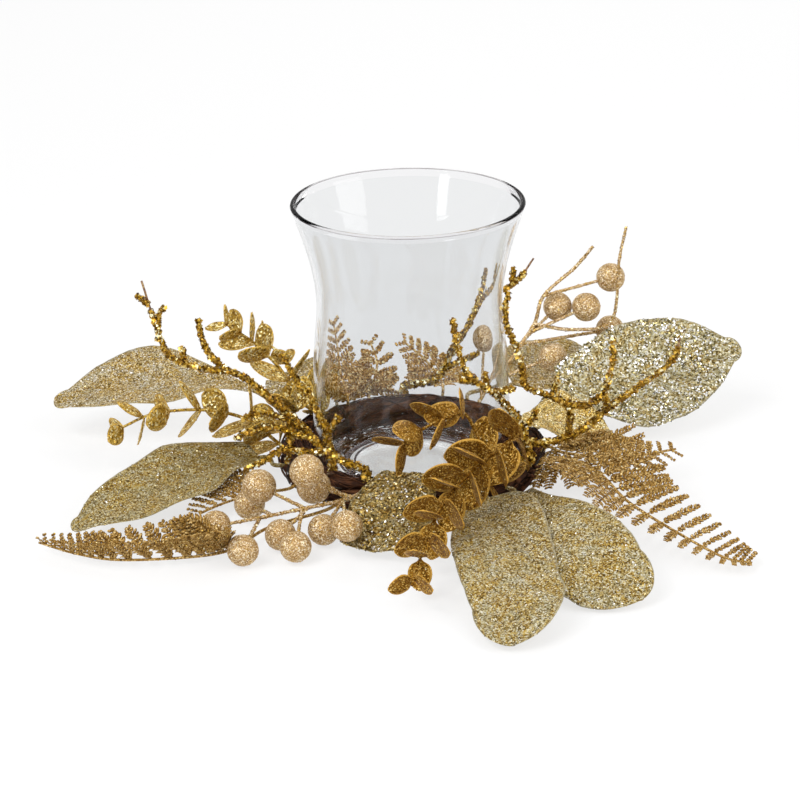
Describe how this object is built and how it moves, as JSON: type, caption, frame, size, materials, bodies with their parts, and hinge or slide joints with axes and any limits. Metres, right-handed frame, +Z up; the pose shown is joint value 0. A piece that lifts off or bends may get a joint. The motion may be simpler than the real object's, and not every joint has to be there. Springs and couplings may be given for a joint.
{
  "type": "candle holder",
  "caption": "Flared clear glass candle holder standing in a twisted vine ring dressed with glittered leaves, eucalyptus, ferns, twigs and berries; the glass lifts out.",
  "frame": {"origin": "centre of the flat underside of the glass, on the table", "axes": "+Z up along the glass's axis, -Y towards the front, where the two broad leaves point, +X to the right"},
  "size_m": [0.3748, 0.3429, 0.148],
  "materials": {
    "clear_glass": "clear, fire-polished rim",
    "bark": "dark vine with its bark on",
    "binding_wire": "black annealed wire",
    "leaf_glitter": "coated with silver and gold glitter",
    "eucalyptus_glitter": "coated with dark gold glitter",
    "fern_glitter": "moulded, bronze-gold glitter",
    "twig_flake": "coated with coarse gold flakes, bare brown tips",
    "berry_glitter": "champagne glitter over foam balls"
  },
  "bodies": {
    "wreath": {"leaf_front": "leaf_glitter", "leaf_front_right": "leaf_glitter", "leaf_front_left": "leaf_glitter", "leaf_left_high": "leaf_glitter", "leaf_left_low": "leaf_glitter", "leaf_right_high": "leaf_glitter", "leaf_right_low": "leaf_glitter", "leaf_back_right": "leaf_glitter", "leaf_back_left": "leaf_glitter", "eucalyptus_left": "eucalyptus_glitter", "eucalyptus_left_high": "eucalyptus_glitter", "eucalyptus_front": "eucalyptus_glitter", "eucalyptus_front_high": "eucalyptus_glitter", "eucalyptus_back": "eucalyptus_glitter", "fern_left": "fern_glitter", "fern_left_high": "fern_glitter", "fern_right": "fern_glitter", "fern_right_high": "fern_glitter", "fern_back_left": "fern_glitter", "fern_back": "fern_glitter", "fern_back_right": "fern_glitter", "twig_left": "twig_flake", "twig_left_small": "twig_flake", "twig_right": "twig_flake", "twig_front_right": "twig_flake", "twig_back": "twig_flake", "berries_front_stem": "berry_glitter", "berries_front_1": "berry_glitter", "berries_front_2": "berry_glitter", "berries_front_3": "berry_glitter", "berries_front_4": "berry_glitter", "berries_front_5": "berry_glitter", "berries_front_6": "berry_glitter", "berries_front_7": "berry_glitter", "berries_front_8": "berry_glitter", "berries_front_9": "berry_glitter", "berries_front_10": "berry_glitter", "berries_back_stem": "berry_glitter", "berries_back_1": "berry_glitter", "berries_back_2": "berry_glitter", "berries_back_3": "berry_glitter", "berries_back_4": "berry_glitter", "berries_back_5": "berry_glitter", "berries_back_6": "berry_glitter", "vine_1": "bark", "vine_2": "bark", "vine_3": "bark", "vine_4": "bark", "vine_5": "bark", "tie_wire_1": "binding_wire", "tie_wire_2": "binding_wire", "tie_wire_3": "binding_wire"},
    "glass": {"glass": "clear_glass"}
  },
  "joints": [
    {"name": "glass_lift", "type": "slide", "parent": "wreath", "child": "glass", "axis": [0, 0, 1], "range_m": [0, 0.16]}
  ]
}
